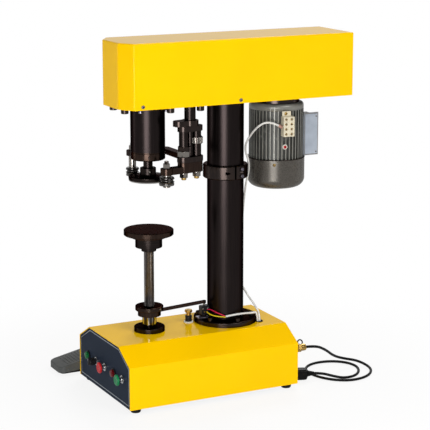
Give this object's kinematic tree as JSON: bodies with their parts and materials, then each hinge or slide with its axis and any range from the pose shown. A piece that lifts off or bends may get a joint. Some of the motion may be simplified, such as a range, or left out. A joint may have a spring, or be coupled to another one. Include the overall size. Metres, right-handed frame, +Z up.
{
  "type": "can seamer",
  "caption": "Bench can seamer: sheet base and belt-drive head on a column, motor-driven chuck, swinging seaming rollers, lifting can tray and foot switch.",
  "frame": {"origin": "on the bench under the middle of the footprint, with the foot switch and without the mains cord and plug", "axes": "+X from the control panel to the mains lead, +Y away from the operator's side, +Z up"},
  "size_m": [0.6453, 0.4071, 0.764],
  "materials": {
    "yellow_paint": "gloss",
    "panel_paint": "satin",
    "grey_plate": "satin",
    "black_steel": "satin",
    "bright_steel": "machined",
    "motor_paint": "satin",
    "pulley_metal": "machined",
    "grey_plastic": "satin",
    "pedal_plastic": "satin",
    "cream_plastic": "satin",
    "black_plastic": "satin",
    "red_plastic": "gloss",
    "green_plastic": "gloss",
    "lamp_plastic": "gloss",
    "brass": "machined",
    "black_rubber": "satin",
    "white_sheath": "satin"
  },
  "bodies": {
    "frame": {"base_housing": "yellow_paint", "head_cover": "yellow_paint", "control_panel": "panel_paint", "bottom_plate": "grey_plate", "head_plate": "grey_plate", "switch_bracket": "grey_plate", "column": "black_steel", "column_flange": "black_steel", "column_collar": "black_steel", "spindle_housing": "black_steel", "housing_cap": "black_steel", "lift_guide": "black_steel", "lift_magnet": "black_steel", "spindle_bearings": "bright_steel", "machine_screws": "bright_steel", "return_springs": "bright_steel", "motor_housing": "motor_paint", "motor_cowl": "motor_paint", "feed_gearmotor": "pulley_metal", "capacitor_box": "grey_plastic", "control_gear": "grey_plastic", "pedal_base": "pedal_plastic", "terminal_block": "cream_plastic", "button_bodies": "black_plastic", "micro_switch": "black_plastic", "earth_post_base": "black_plastic", "mains_plug": "black_plastic", "panel_lamps": "lamp_plastic", "cable_gland": "brass", "earth_post_screw": "brass", "rubber_feet": "black_rubber", "drive_belt": "black_rubber", "mains_cord": "black_rubber", "wiring": "white_sheath"},
    "spindle_unit": {"spindle": "bright_steel", "chuck": "bright_steel", "spindle_pulley": "pulley_metal"},
    "motor_unit": {"motor_rotor": "bright_steel", "motor_fan": "grey_plastic", "motor_pulley": "pulley_metal"},
    "swing": {"rocker_shaft": "bright_steel", "rocker_plates": "black_steel", "arm_posts": "bright_steel", "first_arm": "black_steel", "second_arm": "black_steel", "arm_fasteners": "bright_steel"},
    "roller_one": {"first_roller": "bright_steel"},
    "roller_two": {"second_roller": "bright_steel"},
    "lift": {"lift_shaft": "bright_steel", "lift_collar": "black_steel", "trip_arm": "black_steel"},
    "height": {"height_screw": "bright_steel", "tray_hub": "black_steel", "tray_bearing": "bright_steel"},
    "tray_unit": {"tray": "black_steel"},
    "stop_button": {"red_button": "red_plastic"},
    "start_button": {"green_button": "green_plastic"},
    "selector": {"selector_knob": "black_plastic"},
    "plunger": {"switch_plunger": "black_plastic"},
    "treadle": {"pedal_cover": "pedal_plastic"}
  },
  "joints": [
    {"name": "spindle_spin", "type": "hinge", "parent": "frame", "child": "spindle_unit", "pos_m": [-0.1595, -0.056, 0.529], "axis": [0, 0, 1], "continuous": true},
    {"name": "motor_spin", "type": "hinge", "parent": "frame", "child": "motor_unit", "pos_m": [0.1495, -0.056, 0.489], "axis": [0, 0, 1], "continuous": true},
    {"name": "arm_swing", "type": "hinge", "parent": "frame", "child": "swing", "pos_m": [-0.0855, -0.108, 0.585], "axis": [0, 0, 1], "range_deg": [-5, 6]},
    {"name": "first_roller_spin", "type": "hinge", "parent": "swing", "child": "roller_one", "pos_m": [-0.1655, 0.012, 0.473], "axis": [0, 0, 1], "continuous": true},
    {"name": "second_roller_spin", "type": "hinge", "parent": "swing", "child": "roller_two", "pos_m": [-0.1455, -0.119, 0.473], "axis": [0, 0, 1], "continuous": true},
    {"name": "lift_slide", "type": "slide", "parent": "frame", "child": "lift", "axis": [0, 0, 1], "range_m": [0, 0.018]},
    {"name": "height_adjust", "type": "slide", "parent": "lift", "child": "height", "axis": [0, 0, 1], "range_m": [-0.115, 0.03]},
    {"name": "tray_spin", "type": "hinge", "parent": "height", "child": "tray_unit", "pos_m": [-0.1595, -0.056, 0.34115], "axis": [0, 0, 1], "continuous": true},
    {"name": "red_press", "type": "slide", "parent": "frame", "child": "stop_button", "axis": [1, 0, 0], "range_m": [0, 0.004], "stiffness_N_per_m": 500, "springref_m": -0.002},
    {"name": "green_press", "type": "slide", "parent": "frame", "child": "start_button", "axis": [1, 0, 0], "range_m": [0, 0.004], "stiffness_N_per_m": 500, "springref_m": -0.002},
    {"name": "selector_turn", "type": "hinge", "parent": "frame", "child": "selector", "pos_m": [-0.2665, -0.015, 0.068], "axis": [1, 0, 0], "range_deg": [-45, 45]},
    {"name": "switch_press", "type": "slide", "parent": "frame", "child": "plunger", "axis": [0, 0, -1], "range_m": [0, 0.0015], "stiffness_N_per_m": 600, "springref_m": -0.001},
    {"name": "pedal_press", "type": "hinge", "parent": "frame", "child": "treadle", "pos_m": [-0.2865, 0.158, 0.007], "axis": [0, 1, 0], "range_deg": [0, 5], "stiffness_Nm_per_rad": 1.5, "springref_deg": -5.73}
  ],
  "couplings": [
    {"joint": "motor_spin", "follows": "spindle_spin", "ratio": 2}
  ]
}
